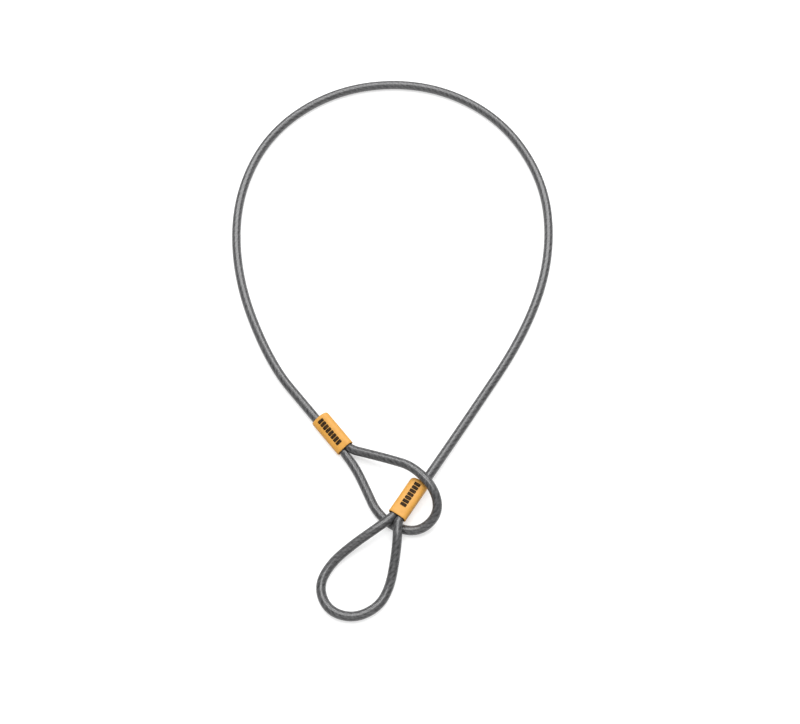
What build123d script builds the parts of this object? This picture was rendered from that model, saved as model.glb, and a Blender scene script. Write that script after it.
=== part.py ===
from build123d import *
import os
from math import cos, pi, radians, sin, tan

# A double-eye security cable, lying flat, with the end that carries sleeve B passed up through
# eye A. One steel wire rope runs the whole way. It turns back on itself at each end to make an
# eye, and a crimped ferrule with two barrels holds its run and its tail side by side. Vinyl
# jackets cover the rope between the ferrules, and a slip-on vinyl sleeve covers each ferrule.
#
# Millimetres, +Z up, resting on z = 0, origin below the centre of the overall box.

# Driving dimensions
cable_diameter = 5.0      # outside of the vinyl jacket
rope_diameter = 3.0       # bare steel wire rope
bore_clearance = 0.05     # rope to jacket bore and to ferrule barrel, on the radius
ferrule_wall = 0.85       # round each barrel
ferrule_web = 0.5         # between the two barrels
ferrule_length = 18.5
crimp_count = 3           # pressed bands along a ferrule
crimp_width = 2.6
crimp_depth = 0.2
tail_stub = 0.5           # cut end of the rope behind its ferrule
stub_to_jacket = 0.2      # along the ferrule's axis, from the stub to the long stretch's jacket
stub_to_wall = 0.3        # from the stub to the sleeve's closed end
squeeze_gap = 0.1         # between the two jackets pressed together in a sleeve's mouth
sleeve_wall = 0.5
sleeve_clearance = 0.2    # sleeve to the jackets in it, or to the ferrule if that is the thicker
sleeve_recess = 2.0       # from the sleeve's mouth in to the ferrule
sleeve_end_wall = 1.2
sleeve_end_round = 0.9    # rounding of the closed end's outer edge
mouth_lead = 4.2          # straight stretch of an eye's leg out of its ferrule
squeeze_reach = 16.0      # how far out of the mouth two legs can lie pressed together
straight_run = 45.0       # first and last run of the long stretch, measured from the ferrules

cable_radius = cable_diameter / 2
bore_radius = rope_diameter / 2 + bore_clearance
barrel_pitch = 2 * bore_radius + ferrule_web      # between the two ropes in a ferrule
ferrule_height = 2 * (bore_radius + ferrule_wall)
ferrule_width = barrel_pitch + ferrule_height
cavity_height = max(cable_diameter, ferrule_height) + 2 * sleeve_clearance
cavity_width = barrel_pitch + cavity_height
sleeve_height = cavity_height + 2 * sleeve_wall
sleeve_width = cavity_width + 2 * sleeve_wall
sleeve_cavity_length = sleeve_recess + ferrule_length + tail_stub + stub_to_wall
sleeve_length = sleeve_cavity_length + sleeve_end_wall
ferrule_front = -sleeve_recess                    # along an end's own X axis, 0 at the sleeve's mouth
ferrule_back = ferrule_front - ferrule_length
run_jacket_start = ferrule_back - tail_stub - stub_to_jacket


class CableEnd:
    """One crimped end. Its plane sits at the sleeve's mouth: X points out of the mouth along the
    barrels, Y across them and Z out of the sleeve's upper broad face."""

    def __init__(self, mouth, heading, rise, roll, run_side):
        """heading, rise and roll are degrees: of X round Z, of X above level, and of Y above level.
        run_side is 1 where the long stretch leaves by the barrel at +Y, and -1 at -Y."""
        out = Vector(cos(radians(heading)), sin(radians(heading)), 0)
        across = Vector(-out.Y, out.X, 0)
        axis = out * cos(radians(rise)) + Vector(0, 0, sin(radians(rise)))
        raised = across * cos(radians(roll)) + axis.cross(across) * sin(radians(roll))
        self.plane = Plane(origin=mouth, x_dir=axis, z_dir=axis.cross(raised))
        self.run_y = run_side * barrel_pitch / 2

    def point(self, x, y):
        return self.plane.from_local_coords(Vector(x, y, 0))

    def run_point(self, x):
        """A point on the axis of the barrel that the long stretch goes through."""
        return self.point(x, self.run_y)

    def tail_point(self, x):
        return self.point(x, -self.run_y)


end_a = CableEnd(mouth=(-25.1, -72.1, 3.9), heading=-50.5, rise=0, roll=20, run_side=-1)
end_b = CableEnd(mouth=(2.7, -110.0, 8.1), heading=-123.5, rise=5, roll=4, run_side=1)

# Routes. A point is where two straight runs would meet, and an arc rounds each corner. Points
# without a rise of their own lie with the jacket on the table.
table = cable_radius

# Eye A, from the tail's barrel round to the run's: over the sleeve of end B, then down to the
# table, where the legs of eye B pass over it.
eye_a_points = [
    (-14.4, -75.2, 6.2),
    (-1.0, -79.7, 9.6),
    (11.5, -84.4, 12.3),
    (22.8, -96.8, 12.4),
    (24.6, -108.8, 7.6),
    (14.8, -117.4, 3.6),
    (2.0, -115.4, table),
    (-8.2, -106.6, table),
    (-13.2, -95.6, table),
    (-18.6, -84.2, table),
]

# The long stretch, from end A round to end B.
run_points = [
    (-89.6, 31, table),
    (-92, 84, table),
    (-72.5, 130, table),
    (-31, 159, table),
    (20.5, 162, table),
    (64.5, 138, table),
    (90, 93.5, table),
    (91.5, 44, table),
    (75.0, -4.0, table),
]

# Eye B, from the run's barrel round to the tail's: over the lower leg of eye A, then down.
eye_b_points = [
    (3.0, -121.6, 8.4),
    (1.9, -131.2, 5.4),
    (-0.9, -146.2, table),
    (-7.1, -156.5, table),
    (-19.8, -162.0, table),
    (-32.8, -157.8, table),
    (-37.8, -145.6, table),
    (-32.0, -134.2, 2.7),
    (-21.4, -125.3, 5.2),
    (-7.5, -116.1, 8.4),
]

eye_a_route = [
    end_a.tail_point(ferrule_front),
    end_a.tail_point(ferrule_front + mouth_lead),
    *[Vector(p) for p in eye_a_points],
    end_a.run_point(ferrule_front + mouth_lead),
    end_a.run_point(ferrule_front),
]
run_route = [
    end_a.run_point(run_jacket_start),
    end_a.run_point(ferrule_back - straight_run),
    *[Vector(p) for p in run_points],
    end_b.run_point(ferrule_back - straight_run),
    end_b.run_point(run_jacket_start),
]
eye_b_route = [
    end_b.run_point(ferrule_front),
    end_b.run_point(ferrule_front + mouth_lead),
    *[Vector(p) for p in eye_b_points],
    end_b.tail_point(ferrule_front + mouth_lead),
    end_b.tail_point(ferrule_front),
]
# The rope follows all three, straight through each ferrule from one to the next.
rope_route = [
    end_a.tail_point(ferrule_back - tail_stub),
    *eye_a_route[1:-1],
    *run_route[1:-1],
    *eye_b_route[1:-1],
    end_b.tail_point(ferrule_back - tail_stub),
]


def corner_radii(route):
    """The largest arc at each corner that leaves a tenth of the shorter run straight."""
    radii = []
    for before, corner, after in zip(route, route[1:], route[2:]):
        run_in = corner - before
        run_out = after - corner
        half_turn = radians(run_in.get_angle(run_out)) / 2
        radii.append(0.45 * min(run_in.length, run_out.length) / tan(half_turn))
    return radii


def smooth_wire(route, radii=None):
    return FilletPolyline(*route, radius=radii or corner_radii(route)).wire()


def tube(path, outer_radius, inner_radius=0.0):
    """A round tube along a wire, or a solid rod without an inner radius."""
    section = Circle(outer_radius)
    if inner_radius:
        section -= Circle(inner_radius)
    return sweep(Plane(origin=path @ 0, z_dir=path % 0) * section, path=path)


def eye_jacket(route, end):
    """The jacket of an eye. Its two legs lie pressed flat against each other in the mouth, so each
    half of the eye is trimmed at the plane between the barrels before the halves are joined."""
    radii = corner_radii(route)
    middle = len(route) // 2
    join = (route[middle - 1] + route[middle]) / 2
    halves = []
    for points, arcs, side in (
        (route[:middle] + [join], radii[: middle - 1], end.plane.to_local_coords(route[0]).Y),
        ([join] + route[middle:], radii[middle - 1 :], end.plane.to_local_coords(route[-1]).Y),
    ):
        half = tube(smooth_wire(points, arcs), cable_radius, bore_radius)
        halves.append(half - beyond_middle(end, side))
    return halves[0] + halves[1]


def beyond_middle(end, side):
    """The space round an end's mouth that a leg on the given side keeps out of."""
    reach = sleeve_recess + squeeze_reach
    block = Box(reach, cable_diameter, 2 * cable_diameter, align=(Align.MIN, Align.MAX, Align.CENTER))
    block = Pos(ferrule_front, squeeze_gap / 2, 0) * block
    if side < 0:
        block = mirror(block, about=Plane.XZ)
    return end.plane * block


def slot_bar(width, height, start, length):
    """A bar along X from start, with straight broad faces and half-round sides. Its width is in Y."""
    section = Plane(origin=(start, 0, 0), x_dir=(0, 1, 0), z_dir=(1, 0, 0)) * SlotOverall(width, height)
    return extrude(section, amount=length)


def round_bar(radius, y, start, length):
    section = Plane(origin=(start, y, 0), z_dir=(1, 0, 0)) * Circle(radius)
    return extrude(section, amount=length)


def ferrule(end):
    """A two-barrel aluminium ferrule with its pressed bands."""
    body = slot_bar(ferrule_width, ferrule_height, ferrule_back, ferrule_length)
    spacing = ferrule_length / crimp_count
    for i in range(crimp_count):
        start = ferrule_back + (i + 0.5) * spacing - crimp_width / 2
        band = slot_bar(ferrule_width + 1, ferrule_height + 1, start, crimp_width)
        pressed = slot_bar(ferrule_width - 2 * crimp_depth, ferrule_height - 2 * crimp_depth, start, crimp_width)
        body -= band - pressed
    for y in (-barrel_pitch / 2, barrel_pitch / 2):
        body -= round_bar(bore_radius, y, ferrule_back, ferrule_length)
    return end.plane * body


def sleeve(end):
    """A slip-on vinyl sleeve: open at the mouth, and closed in round the cable behind."""
    body = slot_bar(sleeve_width, sleeve_height, -sleeve_length, sleeve_length)
    body = fillet(body.faces().sort_by(Axis.X)[0].edges(), sleeve_end_round)
    body -= slot_bar(cavity_width, cavity_height, -sleeve_cavity_length, sleeve_cavity_length)
    body -= round_bar(cable_radius + sleeve_clearance, end.run_y, -sleeve_length, sleeve_end_wall)
    return end.plane * body


def check_tube(name, solid, route, radii, section_area):
    """Print a tube's radii, and its volume against section times length."""
    path = smooth_wire(route, radii)
    print(name, "length", round(path.length, 1), "radii", [round(r, 1) for r in radii])
    print("   volume", round(solid.volume, 1), "section x length", round(section_area * path.length, 1))


jacket_area = pi * (cable_radius**2 - bore_radius**2)
rope_area = pi * (rope_diameter / 2) ** 2
rope_radii = corner_radii(eye_a_route) + corner_radii(run_route) + corner_radii(eye_b_route)

parts = {
    "rope_core": tube(smooth_wire(rope_route, rope_radii), rope_diameter / 2),
    "run_jacket": tube(smooth_wire(run_route), cable_radius, bore_radius),
    "eye_a_jacket": eye_jacket(eye_a_route, end_a),
    "eye_b_jacket": eye_jacket(eye_b_route, end_b),
    "ferrule_a": ferrule(end_a),
    "ferrule_b": ferrule(end_b),
    "sleeve_a": sleeve(end_a),
    "sleeve_b": sleeve(end_b),
}

check_tube("rope_core", parts["rope_core"], rope_route, rope_radii, rope_area)
check_tube("run_jacket", parts["run_jacket"], run_route, corner_radii(run_route), jacket_area)
check_tube("eye_a_jacket", parts["eye_a_jacket"], eye_a_route, corner_radii(eye_a_route), jacket_area)
check_tube("eye_b_jacket", parts["eye_b_jacket"], eye_b_route, corner_radii(eye_b_route), jacket_area)

os.makedirs("parts", exist_ok=True)
for name, solid in parts.items():
    export_step(solid, f"parts/{name}.step")
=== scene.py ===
"""The looks of a double-eye security cable, built round its CAD frame. Metres, +Z up."""

from math import cos, copysign, exp, pi, radians, sin

import bmesh
import bpy
from mathutils import Matrix, Vector


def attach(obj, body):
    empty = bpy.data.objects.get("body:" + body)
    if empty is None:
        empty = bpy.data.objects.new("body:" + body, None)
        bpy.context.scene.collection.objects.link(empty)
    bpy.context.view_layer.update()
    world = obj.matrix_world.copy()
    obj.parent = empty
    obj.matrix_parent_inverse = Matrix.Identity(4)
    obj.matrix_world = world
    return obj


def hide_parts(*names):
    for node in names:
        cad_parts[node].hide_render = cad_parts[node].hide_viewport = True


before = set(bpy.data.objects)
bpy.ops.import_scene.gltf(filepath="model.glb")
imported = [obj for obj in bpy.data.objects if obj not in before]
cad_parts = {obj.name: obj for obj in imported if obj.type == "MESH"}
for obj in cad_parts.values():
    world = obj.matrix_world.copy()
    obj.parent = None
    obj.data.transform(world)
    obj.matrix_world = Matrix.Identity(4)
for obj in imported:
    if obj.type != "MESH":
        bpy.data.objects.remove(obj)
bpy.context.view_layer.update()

MM = 0.001

# Sizes shared with the CAD model
CABLE_DIAMETER = 5.0 * MM
ROPE_DIAMETER = 3.0 * MM
BORE_RADIUS = 1.55 * MM          # of a jacket, and of a ferrule's barrel
BARREL_PITCH = 3.6 * MM          # between the two ropes side by side in a ferrule
FERRULE_LENGTH = 18.5 * MM
FERRULE_HEIGHT = 4.8 * MM
TAIL_STUB = 0.5 * MM             # cut end of the rope behind its ferrule
BARE_STRETCH = 0.7 * MM          # from a ferrule to the long stretch's jacket
MOUTH_LEAD = 4.2 * MM            # straight stretch of an eye's leg out of its ferrule
STRAIGHT_RUN = 45.0 * MM         # from a ferrule to the long stretch's first bend
SLEEVE_LENGTH = 22.5 * MM
SLEEVE_HEIGHT = 6.4 * MM
SLEEVE_RECESS = 2.0 * MM         # from the sleeve's mouth in to the ferrule

CABLE_RADIUS = CABLE_DIAMETER / 2
FERRULE_FRONT = -SLEEVE_RECESS   # along an end's own X axis, 0 at the sleeve's mouth
FERRULE_BACK = FERRULE_FRONT - FERRULE_LENGTH

# Jackets
STRAIGHTENER = 8.0 * MM          # to a point that keeps the cable straight where a sleeve slides
RUN_STEPS = 48                   # points on the line for each point of the long stretch's route
EYE_STEPS = 24
JACKET_SIDES = 32
NECK_RADIUS = 1.95 * MM          # of an eye's leg where it leaves its ferrule
NECK_LENGTH = 5.0 * MM           # from the ferrule to the leg's full thickness
SQUEEZE_GAP = 0.05 * MM          # from a flattened leg to the plane between the two legs
SQUEEZE_REACH = 16.0 * MM        # how far out of the mouth two legs can press together
SQUEEZE_START = 1.0 * MM         # how far behind the ferrule's front the flattening starts

# Wire rope
STRAND_COUNT = 6                 # round one core strand
STRAND_RADIUS = ROPE_DIAMETER / 6
STRAND_SIDES = 10
ROPE_LAY = 24.0 * MM             # length of one full turn of the strands
ROPE_STEP = 1.5 * MM             # between two rings of a strand

# Ferrules
FERRULE_SIDES = 64
FERRULE_STEPS = 74
BORE_SIDES = 24
CRIMP_COUNT = 3                  # pressed bands along a ferrule
CRIMP_WIDTH = 3.4 * MM
CRIMP_DEPTH = 0.3 * MM
CRIMP_FLANK = 0.25               # share of a band's width that slopes, on each side
WAIST_DEPTH = 0.45 * MM          # of the groove between the two barrels
WAIST_WIDTH = 0.9 * MM
WAIST_SHARE = 0.45               # share of a barrel's radius that is drawn out to bridge the barrels
CHAMFER = 0.2 * MM

# Sleeves
SLEEVE_WIDTH = 10.3 * MM         # the soft vinyl bulges 0.15 mm past the CAD sleeve on each side
SLEEVE_POWER = 3.1               # of the superellipse that the section follows
SLEEVE_WALL = 0.62 * MM
SECTION_POINTS = 72
OUTER_STEPS = 24
INNER_STEPS = 11
ROUND_STEPS = 8
ROUND_SHARE = 0.42               # of the way in to the cable's hole that the end's rounding takes
END_FACE = (                     # (distance from the back, share of the way in to the cable's hole)
    (0.02 * MM, 0.7),
    (0.04 * MM, 0.93),
)
HOLE_EDGE = 0.20 * MM            # from the back to the hole's full depth
HOLE_CLEARANCE = 0.12 * MM       # round the cable
END_WALL = 1.0 * MM              # thickness of the closed end at the hole
END_SLOPE = 0.25 * MM            # from there to the sleeve's inside
LIP_DEPTH = 0.25 * MM            # of the rounded edge at the mouth
LIP = (                          # (distance from the mouth, share of the way from inside to outside)
    (-0.06 * MM, 0.15),
    (0.0, 0.5),
    (-0.06 * MM, 0.85),
)
LIP_CLOSE = 0.2 * MM             # along the section, from the lip's last ring to the first ring

# Bars printed on the sleeves
BAR_LENGTH = 3.6 * MM            # across the sleeve
BAR_WIDTH = 1.95 * MM
BAR_SPACING = 2.2 * MM
BAR_POINTS = 32
BAR_POWER = 6
INK_RISE = 0.03 * MM
INK_LAYERS = (                   # (height as a share of INK_RISE, share of the bar's size)
    (-1.0, 1.0),
    (0.7, 1.0),
    (1.0, 0.94),
)

# Colours, linear
SMOKE_DARK = (0.009, 0.009, 0.010)
SMOKE_LIGHT = (0.100, 0.100, 0.103)
ORANGE_DARK = (0.49, 0.236, 0.037)
ORANGE_LIGHT = (0.55, 0.274, 0.052)
INK_DARK = (0.008, 0.004, 0.001)
INK_WORN = (0.10, 0.045, 0.008)
ZINC = (0.44, 0.45, 0.46)
ALUMINIUM = (0.25, 0.25, 0.26)
PAPER = (0.5, 0.5, 0.5)
WHITE = (1, 1, 1)

# Patterns in the cable's colour
WIRE_SPACING = 1.8 * MM          # between the wires that show on a strand
STREAK_LENGTH = 5.0 * MM         # of the unevenness in the vinyl
CROWN_WEIGHT = 0.16              # of the strands' raised middles
STREAK_WEIGHT = 0.74
WIRE_WEIGHT = 0.04


class CableEnd:
    """One crimped end. Its matrix takes local points to the row frame: X out of the sleeve's
    mouth, Y across the two barrels and Z out of the sleeve's upper broad face."""

    def __init__(self, mouth, heading, rise, roll, run_side):
        """heading, rise and roll are degrees: of X round Z, of X above level, and of Y above level.
        run_side is 1 where the long stretch leaves by the barrel at +Y, and -1 at -Y."""
        out = Vector((cos(radians(heading)), sin(radians(heading)), 0))
        across = Vector((-out.y, out.x, 0))
        axis = out * cos(radians(rise)) + Vector((0, 0, sin(radians(rise))))
        raised = across * cos(radians(roll)) + axis.cross(across) * sin(radians(roll))
        self.matrix = Matrix((axis, raised, axis.cross(raised))).transposed().to_4x4()
        self.matrix.translation = Vector(mouth)
        self.run_y = run_side * BARREL_PITCH / 2

    def point(self, x, y, z=0):
        return self.matrix @ Vector((x, y, z))

    def run_point(self, x):
        """A point on the axis of the barrel that the long stretch goes through."""
        return self.point(x, self.run_y)

    def tail_point(self, x):
        return self.point(x, -self.run_y)


end_a = CableEnd(mouth=(-0.0251, -0.0721, 0.0039), heading=-50.5, rise=0, roll=20, run_side=-1)
end_b = CableEnd(mouth=(0.0027, -0.1100, 0.0081), heading=-123.5, rise=5, roll=4, run_side=1)

# The routes of the CAD model, with one more point behind each ferrule, the straightener. Points
# at the height of the table have the jacket lying on it.
table = CABLE_RADIUS

# Over the sleeve of end B, then down to the table, where the legs of eye B pass over
eye_a_route = [
    end_a.tail_point(FERRULE_FRONT),
    end_a.tail_point(FERRULE_FRONT + MOUTH_LEAD),
    (-0.0144, -0.0752, 0.0062),
    (-0.0010, -0.0797, 0.0096),
    (0.0115, -0.0844, 0.0123),
    (0.0228, -0.0968, 0.0124),
    (0.0246, -0.1088, 0.0076),
    (0.0148, -0.1174, 0.0036),
    (0.0020, -0.1154, table),
    (-0.0082, -0.1066, table),
    (-0.0132, -0.0956, table),
    (-0.0186, -0.0842, table),
    end_a.run_point(FERRULE_FRONT + MOUTH_LEAD),
    end_a.run_point(FERRULE_FRONT),
]

# The long stretch, from end A round to end B
run_route = [
    end_a.run_point(FERRULE_BACK - BARE_STRETCH),
    end_a.run_point(FERRULE_BACK - STRAIGHTENER),
    end_a.run_point(FERRULE_BACK - STRAIGHT_RUN),
    (-0.0896, 0.0310, table),
    (-0.0920, 0.0840, table),
    (-0.0725, 0.1300, table),
    (-0.0310, 0.1590, table),
    (0.0205, 0.1620, table),
    (0.0645, 0.1380, table),
    (0.0900, 0.0935, table),
    (0.0915, 0.0440, table),
    (0.0750, -0.0040, table),
    end_b.run_point(FERRULE_BACK - STRAIGHT_RUN),
    end_b.run_point(FERRULE_BACK - STRAIGHTENER),
    end_b.run_point(FERRULE_BACK - BARE_STRETCH),
]

# Over the lower leg of eye A, then down to the table and back
eye_b_route = [
    end_b.run_point(FERRULE_FRONT),
    end_b.run_point(FERRULE_FRONT + MOUTH_LEAD),
    (0.0030, -0.1216, 0.0084),
    (0.0019, -0.1312, 0.0054),
    (-0.0009, -0.1462, table),
    (-0.0071, -0.1565, table),
    (-0.0198, -0.1620, table),
    (-0.0328, -0.1578, table),
    (-0.0378, -0.1456, table),
    (-0.0320, -0.1342, 0.0027),
    (-0.0214, -0.1253, 0.0052),
    (-0.0075, -0.1161, 0.0084),
    end_b.tail_point(FERRULE_FRONT + MOUTH_LEAD),
    end_b.tail_point(FERRULE_FRONT),
]


# Numbers, lines and sections

def evenly(start, end, steps):
    """Numbers from start to end, with the given number of steps between them."""
    return [start + (end - start) * i / steps for i in range(steps + 1)]


def eased(value):
    """The value held between 0 and 1, with a soft start and end."""
    share = min(max(value, 0), 1)
    return share * share * (3 - 2 * share)


def smooth_line(route, steps_per_point):
    """Points along the NURBS spline that has the route as its control points."""
    curve = bpy.data.curves.new("route", "CURVE")
    curve.dimensions = "3D"
    spline = curve.splines.new("NURBS")
    spline.points.add(len(route) - 1)
    for control, place in zip(spline.points, route):
        control.co = (*place, 1)
    spline.order_u = 3
    spline.use_endpoint_u = True
    spline.resolution_u = steps_per_point
    holder = bpy.data.objects.new("route", curve)
    mesh = bpy.data.meshes.new_from_object(holder)
    line = [v.co.copy() for v in mesh.vertices]
    bpy.data.meshes.remove(mesh)
    bpy.data.objects.remove(holder)
    bpy.data.curves.remove(curve)
    return line


def spaced(line, step):
    """The same line with points about a step apart."""
    result = [line[0]]
    for before, after in zip(line, line[1:]):
        count = max(1, round((after - before).length / step))
        result += [before.lerp(after, i / count) for i in range(1, count + 1)]
    return result


def line_frames(line):
    """(point, side, up, distance along) for each point, with the axes carried along untwisted."""
    frames = []
    up = Vector((0, 0, 1))
    along = 0
    for i, point in enumerate(line):
        ahead = line[min(i + 1, len(line) - 1)]
        behind = line[max(i - 1, 0)]
        tangent = (ahead - behind).normalized()
        up = (up - tangent * up.dot(tangent)).normalized()
        if i:
            along += (point - line[i - 1]).length
        frames.append((point, up.cross(tangent), up, along))
    return frames


def circle(centre, side, up, radius, count, start=0):
    """Points in space round a centre, from the start angle on."""
    points = []
    for i in range(count):
        angle = start + 2 * pi * i / count
        points.append(centre + (side * cos(angle) + up * sin(angle)) * radius)
    return points


def circle_section(radius, centre_y, count):
    """(y, z) round a circle."""
    angles = [2 * pi * i / count for i in range(count)]
    return [(centre_y + cos(angle) * radius, sin(angle) * radius) for angle in angles]


def rounded_section(half_width, half_height, count, power):
    """(y, z) round a soft rectangle, which is a superellipse."""
    section = []
    for i in range(count):
        angle = 2 * pi * i / count
        y = copysign(abs(cos(angle)) ** (2 / power), cos(angle)) * half_width
        z = copysign(abs(sin(angle)) ** (2 / power), sin(angle)) * half_height
        section.append((y, z))
    return section


def mixed(section_a, section_b, share):
    """The section that lies the given share of the way from A to B."""
    return [
        (ya + (yb - ya) * share, za + (zb - za) * share)
        for (ya, za), (yb, zb) in zip(section_a, section_b)
    ]


# Meshes

def new_bmesh():
    bm = bmesh.new()
    return bm, bm.loops.layers.uv.new("UVMap")


def section_ring(bm, end, x, section):
    """Vertices round a section that stands across an end's X axis."""
    return [bm.verts.new(end.point(x, y, z)) for y, z in section]


def skin(bm, rings, distances, uv_layer):
    """Quads between rings of vertices, with U round the ring and V the distance along."""
    count = len(rings[0])
    for low, high, v0, v1 in zip(rings, rings[1:], distances, distances[1:]):
        for i in range(count):
            j = (i + 1) % count
            face = bm.faces.new((low[i], low[j], high[j], high[i]))
            corners = ((i, v0), (i + 1, v0), (i + 1, v1), (i, v1))
            for loop, (step, v) in zip(face.loops, corners):
                loop[uv_layer].uv = (step / count, v)


def mesh_piece(name, bm, material):
    """A smooth-shaded object made from a bmesh, with normals facing out."""
    bmesh.ops.recalc_face_normals(bm, faces=bm.faces)
    mesh = bpy.data.meshes.new(name)
    bm.to_mesh(mesh)
    bm.free()
    for polygon in mesh.polygons:
        polygon.use_smooth = True
    mesh.materials.append(material)
    piece = bpy.data.objects.new(name, mesh)
    bpy.context.collection.objects.link(piece)
    return piece


# Cable

def jacket(name, line, end=None):
    """A vinyl jacket with its bore. An eye's jacket is given the end that its legs come from."""
    frames = line_frames(line)
    distances = [along for _, _, _, along in frames]
    bm, uv_layer = new_bmesh()

    def ring(point, side, up, radius):
        places = circle(point, side, up, radius, JACKET_SIDES)
        if end:
            places = [flattened(place, point, end) for place in places]
        return [bm.verts.new(place) for place in places]

    outer = [ring(point, side, up, jacket_radius(point, end)) for point, side, up, _ in frames]
    inner = [ring(point, side, up, BORE_RADIUS) for point, side, up, _ in frames]
    skin(bm, outer, distances, uv_layer)
    skin(bm, inner, distances, uv_layer)
    for at in (0, -1):
        skin(bm, [outer[at], inner[at]], [distances[at]] * 2, uv_layer)
    return mesh_piece(name, bm, materials["cable"])


def jacket_radius(point, end):
    """The jacket's outer radius. An eye's legs are drawn in towards their ferrule."""
    if not end:
        return CABLE_RADIUS
    local = end.matrix.inverted() @ point
    if abs(local.y) > CABLE_DIAMETER:
        return CABLE_RADIUS
    ease = eased((local.x - FERRULE_FRONT) / NECK_LENGTH)
    return NECK_RADIUS + (CABLE_RADIUS - NECK_RADIUS) * ease


def flattened(place, centre, end):
    """The place, pushed back to its own leg's side of the plane between the barrels."""
    local = end.matrix.inverted() @ place
    leg = end.matrix.inverted() @ centre
    if FERRULE_FRONT - SQUEEZE_START < leg.x < SQUEEZE_REACH and abs(leg.y) < CABLE_DIAMETER:
        side = copysign(1, leg.y)
        if local.y * side < SQUEEZE_GAP:
            local.y = side * SQUEEZE_GAP
            return end.matrix @ local
    return place


def wire_rope(name, line):
    """Strands laid in a helix round a core strand, all along a line."""
    frames = line_frames(spaced(line, ROPE_STEP))
    distances = [along for _, _, _, along in frames]
    bm, uv_layer = new_bmesh()
    for strand in range(STRAND_COUNT + 1):
        offset = 0 if strand == STRAND_COUNT else 2 * STRAND_RADIUS
        rings = []
        for point, side, up, along in frames:
            turn = 2 * pi * (strand / STRAND_COUNT + along / ROPE_LAY)
            centre = point + (side * cos(turn) + up * sin(turn)) * offset
            places = circle(centre, side, up, STRAND_RADIUS, STRAND_SIDES, turn)
            rings.append([bm.verts.new(place) for place in places])
        skin(bm, rings, distances, uv_layer)
        bm.faces.new(rings[0])
        bm.faces.new(rings[-1])
    return mesh_piece(name, bm, materials["wire_rope"])


# Ferrules

def ferrule_section(inset):
    """Two barrels side by side, with a groove between them, all pressed in by the inset."""
    radius = FERRULE_HEIGHT / 2 - inset
    section = []
    for i in range(FERRULE_SIDES):
        angle = 2 * pi * i / FERRULE_SIDES
        spread = min(1, abs(cos(angle)) / WAIST_SHARE)
        y = radius * cos(angle) + copysign(BARREL_PITCH / 2, cos(angle)) * spread
        z = radius * sin(angle)
        groove = WAIST_DEPTH * exp(-((y / WAIST_WIDTH) ** 2))
        z -= copysign(groove, z) * abs(sin(angle))
        section.append((y, z))
    return section


def crimp_inset(x):
    """How far the pressed bands go in at a distance x from the ferrule's back."""
    spacing = FERRULE_LENGTH / CRIMP_COUNT
    from_band = abs(x % spacing - spacing / 2)
    return CRIMP_DEPTH * eased((CRIMP_WIDTH / 2 - from_band) / (CRIMP_FLANK * CRIMP_WIDTH))


def ferrule(name, end, node):
    """A two-barrel ferrule with pressed bands, and a bore through each barrel."""
    profile = [(0, CHAMFER)]
    profile += [(x, crimp_inset(x)) for x in evenly(CHAMFER, FERRULE_LENGTH - CHAMFER, FERRULE_STEPS)]
    profile.append((FERRULE_LENGTH, CHAMFER))

    bm, uv_layer = new_bmesh()
    rings = [section_ring(bm, end, FERRULE_BACK + x, ferrule_section(inset)) for x, inset in profile]
    skin(bm, rings, [x for x, _ in profile], uv_layer)
    bores = []
    for y in (-BARREL_PITCH / 2, BARREL_PITCH / 2):
        hole = circle_section(BORE_RADIUS, y, BORE_SIDES)
        bores.append([section_ring(bm, end, x, hole) for x in (FERRULE_BACK, FERRULE_FRONT)])
        skin(bm, bores[-1], (0, FERRULE_LENGTH), uv_layer)
    for at in (0, -1):
        loops = [rings[at], bores[0][at], bores[1][at]]
        edges = [bm.edges.get((loop[i - 1], loop[i])) for loop in loops for i in range(len(loop))]
        for edge in edges:
            edge.smooth = False
        bmesh.ops.triangle_fill(bm, edges=edges, use_beauty=True)
    piece = mesh_piece(name, bm, materials["ferrule"])
    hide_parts(node)
    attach(piece, "cable")


# Sleeves

def sleeve_profile(end, end_round):
    """(x, section) of a sleeve's rings: back along the outside, in to the cable's hole at the
    closed end, forward along the inside and round the lip."""
    half_width = SLEEVE_WIDTH / 2
    half_height = SLEEVE_HEIGHT / 2
    outer = rounded_section(half_width, half_height, SECTION_POINTS, SLEEVE_POWER)
    inner = rounded_section(
        half_width - SLEEVE_WALL, half_height - SLEEVE_WALL, SECTION_POINTS, SLEEVE_POWER
    )
    hole = circle_section(CABLE_RADIUS + HOLE_CLEARANCE, end.run_y, SECTION_POINTS)
    back = -SLEEVE_LENGTH
    inner_back = back + END_WALL + END_SLOPE

    profile = [(x, outer) for x in evenly(-LIP_DEPTH, back + end_round, OUTER_STEPS)]
    for angle in evenly(0, pi / 2, ROUND_STEPS)[1:]:
        section = mixed(outer, hole, ROUND_SHARE * (1 - cos(angle)))
        profile.append((back + end_round * (1 - sin(angle)), section))
    profile += [(back + x, mixed(outer, hole, share)) for x, share in END_FACE]
    profile += [(back + HOLE_EDGE, hole), (back + END_WALL, hole)]
    profile += [(x, inner) for x in evenly(inner_back, -LIP_DEPTH, INNER_STEPS)]
    profile += [(x, mixed(inner, outer, share)) for x, share in LIP]
    return profile


def sleeve(name, end, body, end_round):
    """A slip-on vinyl sleeve: open at the mouth, rounded in to the cable behind."""
    bm, uv_layer = new_bmesh()
    rings = [section_ring(bm, end, x, section) for x, section in sleeve_profile(end, end_round)]
    distances = [0.0]
    for before, after in zip(rings, rings[1:]):
        distances.append(distances[-1] + (after[0].co - before[0].co).length)
    skin(bm, rings + rings[:1], distances + [distances[-1] + LIP_CLOSE], uv_layer)
    piece = mesh_piece(name, bm, materials["sleeve"])
    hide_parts(body)
    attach(piece, body)


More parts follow.
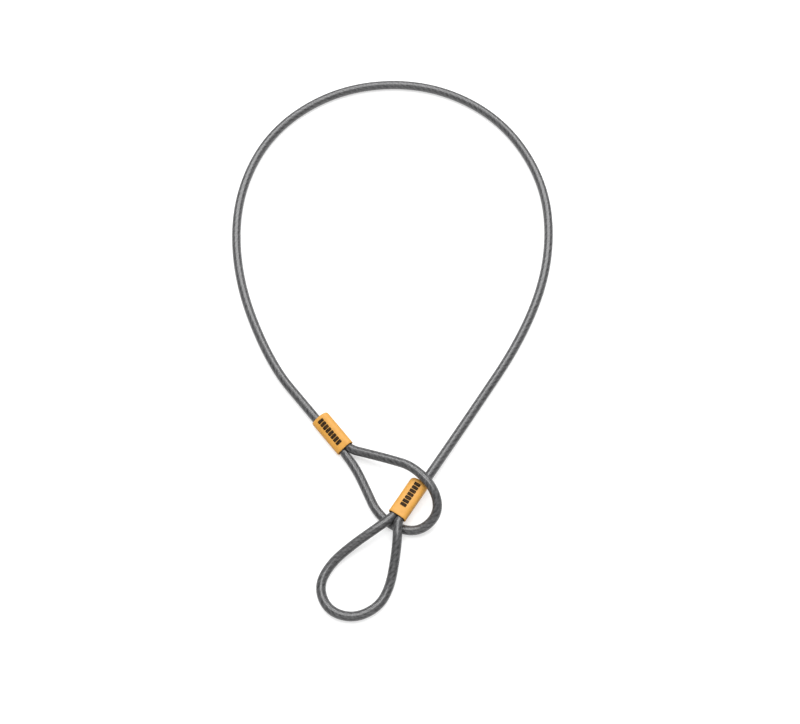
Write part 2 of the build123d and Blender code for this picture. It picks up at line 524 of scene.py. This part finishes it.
def sleeve_top(y):
    """Height of the sleeve's upper face above its middle plane."""
    share = 1 - abs(2 * y / SLEEVE_WIDTH) ** SLEEVE_POWER
    return SLEEVE_HEIGHT / 2 * share ** (1 / SLEEVE_POWER)


def sleeve_print(name, end, body, middle, count):
    """A row of plain bars printed across the sleeve's upper broad face."""
    bm = bmesh.new()
    for bar in range(count):
        bar_x = middle + (bar - (count - 1) / 2) * BAR_SPACING
        rings = []
        for height, size in INK_LAYERS:
            ring = []
            for x, y in rounded_section(BAR_WIDTH / 2 * size, BAR_LENGTH / 2 * size, BAR_POINTS, BAR_POWER):
                ring.append(bm.verts.new(end.point(bar_x + x, y, sleeve_top(y) + INK_RISE * height)))
            rings.append(ring)
        for low, high in zip(rings, rings[1:]):
            for i in range(BAR_POINTS):
                bm.faces.new((low[i - 1], low[i], high[i], high[i - 1]))
        bm.faces.new(rings[-1])
    piece = mesh_piece(name, bm, materials["ink"])
    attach(piece, body)


# Materials

def new_material(name):
    material = bpy.data.materials.new(name)
    material.use_nodes = True
    nodes = material.node_tree.nodes
    return material, nodes, material.node_tree.links, nodes["Principled BSDF"]


def math_node(nodes, links, operation, first, second=None):
    """The result of a Math node. Each value is a number or another node's output."""
    node = nodes.new("ShaderNodeMath")
    node.operation = operation
    for socket, value in zip(node.inputs, (first, second)):
        if value is None:
            continue
        if isinstance(value, (int, float)):
            socket.default_value = value
        else:
            links.new(value, socket)
    return node.outputs[0]


def link_roughness(nodes, links, shader, source, spread, least):
    """Roughness that follows the source, from the least value up."""
    varied = math_node(nodes, links, "MULTIPLY", source, spread)
    links.new(math_node(nodes, links, "ADD", varied, least), shader.inputs["Roughness"])


def link_colour(nodes, links, shader, source, low, high):
    """Base colour that follows the source between two (position, colour) pairs."""
    ramp = nodes.new("ShaderNodeValToRGB")
    for element, (position, colour) in zip(ramp.color_ramp.elements, (low, high)):
        element.position = position
        element.color = (*colour, 1)
    links.new(source, ramp.inputs[0])
    links.new(ramp.outputs[0], shader.inputs["Base Color"])


def link_bump(nodes, links, shader, source, strength, distance):
    bump = nodes.new("ShaderNodeBump")
    bump.inputs["Strength"].default_value = strength
    bump.inputs["Distance"].default_value = distance
    links.new(source, bump.inputs["Height"])
    links.new(bump.outputs[0], shader.inputs["Normal"])


def noise(nodes, links, place, scale, detail):
    """Noise at the given coordinates."""
    texture = nodes.new("ShaderNodeTexNoise")
    texture.inputs["Scale"].default_value = scale
    texture.inputs["Detail"].default_value = detail
    links.new(place, texture.inputs["Vector"])
    return texture.outputs[0]


def object_place(nodes):
    return nodes.new("ShaderNodeTexCoord").outputs["Object"]


def cable_material():
    """Smoke-grey vinyl, glossy outside, over the strands and wires of the rope."""
    material, nodes, links, shader = new_material("smoke_vinyl_over_strands")

    def value(operation, first, second=None):
        return math_node(nodes, links, operation, first, second)

    uv = nodes.new("ShaderNodeUVMap")
    parts = nodes.new("ShaderNodeSeparateXYZ")
    links.new(uv.outputs[0], parts.inputs[0])
    around, along = parts.outputs[0], parts.outputs[1]
    turns = value("SUBTRACT", around, value("MULTIPLY", along, 1 / ROPE_LAY))
    angle = value("MULTIPLY", turns, 2 * pi)
    crown = value("ABSOLUTE", value("SINE", value("MULTIPLY", angle, STRAND_COUNT / 2)))
    wires = value("SINE", value("MULTIPLY", along, 2 * pi / WIRE_SPACING))

    place = nodes.new("ShaderNodeCombineXYZ")
    links.new(value("COSINE", angle), place.inputs[0])
    links.new(value("SINE", angle), place.inputs[1])
    links.new(value("MULTIPLY", along, 1 / STREAK_LENGTH), place.inputs[2])
    streaks = noise(nodes, links, place.outputs[0], scale=2.2, detail=3)

    crowns = value("MULTIPLY", crown, CROWN_WEIGHT)
    tone = value("ADD", crowns, value("MULTIPLY", streaks, STREAK_WEIGHT))
    tone = value("ADD", tone, value("MULTIPLY", value("MULTIPLY", wires, crown), WIRE_WEIGHT))
    link_colour(nodes, links, shader, tone, (0.28, SMOKE_DARK), (0.78, SMOKE_LIGHT))
    link_bump(nodes, links, shader, tone, strength=0.2, distance=0.15 * MM)
    link_roughness(nodes, links, shader, streaks, spread=0.2, least=0.42)
    shader.inputs["Coat Weight"].default_value = 0.5
    shader.inputs["Coat Roughness"].default_value = 0.2
    shader.inputs["Coat IOR"].default_value = 1.5
    return material


def sleeve_material():
    """Soft orange vinyl with a satin skin and slight unevenness."""
    material, nodes, links, shader = new_material("orange_vinyl")
    place = object_place(nodes)
    cloud = noise(nodes, links, place, scale=260, detail=3)
    grain = noise(nodes, links, place, scale=4200, detail=2)
    link_colour(nodes, links, shader, cloud, (0.3, ORANGE_DARK), (0.7, ORANGE_LIGHT))
    link_bump(nodes, links, shader, grain, strength=0.25, distance=0.03 * MM)
    link_roughness(nodes, links, shader, grain, spread=0.16, least=0.46)
    shader.inputs["IOR"].default_value = 1.4
    return material


def metal_material(name, colour, roughness):
    """Bare metal with fine wear."""
    material, nodes, links, shader = new_material(name)
    wear = noise(nodes, links, object_place(nodes), scale=1500, detail=5)
    worn = [c * 0.72 for c in colour]
    link_colour(nodes, links, shader, wear, (0, worn), (1, colour))
    link_roughness(nodes, links, shader, wear, spread=0.25, least=roughness)
    shader.inputs["Metallic"].default_value = 1
    return material


def ink_material():
    """Near-black brown ink, a little worn."""
    material, nodes, links, shader = new_material("brown_ink")
    wear = noise(nodes, links, object_place(nodes), scale=1300, detail=4)
    link_colour(nodes, links, shader, wear, (0.45, INK_DARK), (0.8, INK_WORN))
    shader.inputs["Roughness"].default_value = 0.7
    shader.inputs["Specular IOR Level"].default_value = 0.15
    return material


materials = {
    "cable": cable_material(),
    "ink": ink_material(),
    "sleeve": sleeve_material(),
    "wire_rope": metal_material("zinc_wire", ZINC, roughness=0.34),
    "ferrule": metal_material("aluminium", ALUMINIUM, roughness=0.48),
}


# Pieces

lines = {}
for name, node, route, steps, end, length in (
    ("cable_run", "run_jacket", run_route, RUN_STEPS, None, 0.608),
    ("cable_eye_a", "eye_a_jacket", eye_a_route, EYE_STEPS, end_a, 0.148),
    ("cable_eye_b", "eye_b_jacket", eye_b_route, EYE_STEPS, end_b, 0.146),
):
    line = smooth_line(route, steps)
    piece = jacket(name, line, end)
    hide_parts(node)
    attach(piece, "cable")
    lines[node] = line

rope_line = [
    end_a.tail_point(FERRULE_BACK - TAIL_STUB),
    *lines["eye_a_jacket"],
    *lines["run_jacket"],
    *lines["eye_b_jacket"],
    end_b.tail_point(FERRULE_BACK - TAIL_STUB),
]
rope = wire_rope("wire_rope", rope_line)
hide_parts("rope_core")
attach(rope, "cable")

sleeve("sleeve_a_body", end_a, "sleeve_a", end_round=1.0 * MM)
sleeve("sleeve_b_body", end_b, "sleeve_b", end_round=2.1 * MM)
sleeve_print("sleeve_a_print", end_a, "sleeve_a", middle=-12.0 * MM, count=8)
sleeve_print("sleeve_b_print", end_b, "sleeve_b", middle=-12.9 * MM, count=7)

ferrule("ferrule_a_body", end_a, "ferrule_a")
ferrule("ferrule_b_body", end_b, "ferrule_b")


# Stage, lights and camera

def floor():
    """Pale paper that glows a little, so that it stays near white everywhere."""
    bpy.ops.mesh.primitive_plane_add(size=6)
    plane = bpy.context.object
    plane.name = "floor"
    material, _, _, shader = new_material("white_paper")
    shader.inputs["Base Color"].default_value = (*PAPER, 1)
    shader.inputs["Emission Color"].default_value = (*WHITE, 1)
    shader.inputs["Emission Strength"].default_value = 0.55
    shader.inputs["Roughness"].default_value = 0.9
    shader.inputs["Specular IOR Level"].default_value = 0.1
    plane.data.materials.append(material)


def aimed(name, data, place, target):
    """An object for a light or a camera, turned to face its target."""
    holder = bpy.data.objects.new(name, data)
    holder.location = place
    holder.rotation_mode = "QUATERNION"
    holder.rotation_quaternion = (Vector(target) - Vector(place)).to_track_quat("-Z", "Y")
    bpy.context.collection.objects.link(holder)
    return holder


def area_light(name, place, target, size, power):
    """A rectangular light. Its size is metres, across and up, and its power watts."""
    light = bpy.data.lights.new(name, "AREA")
    light.shape = "RECTANGLE"
    light.size, light.size_y = size
    light.energy = power
    aimed(name, light, place, target)


floor()
area_light("key_north", place=(0, 0.66, 1.0), target=(0, 0, 0), size=(1.5, 0.5), power=19)
area_light("overhead", place=(0, 0.06, 1.15), target=(0, 0.02, 0), size=(0.8, 0.3), power=8)
area_light("fill_south", place=(0, -1.1, 0.75), target=(0, -0.05, 0), size=(1.4, 0.5), power=4)

world = bpy.data.worlds.new("studio")
world.use_nodes = True
background = world.node_tree.nodes["Background"]
background.inputs["Color"].default_value = (*WHITE, 1)
background.inputs["Strength"].default_value = 0.3
bpy.context.scene.world = world
bpy.context.scene.view_settings.view_transform = "Standard"

camera = bpy.data.cameras.new("camera")
camera.lens = 50
camera.sensor_width = 36
camera_place = (0.0043, -0.2429, 0.5788)
camera_target = (0.0043, -0.0207, 0)
bpy.context.scene.camera = aimed("camera", camera, camera_place, camera_target)

bpy.context.view_layer.update()
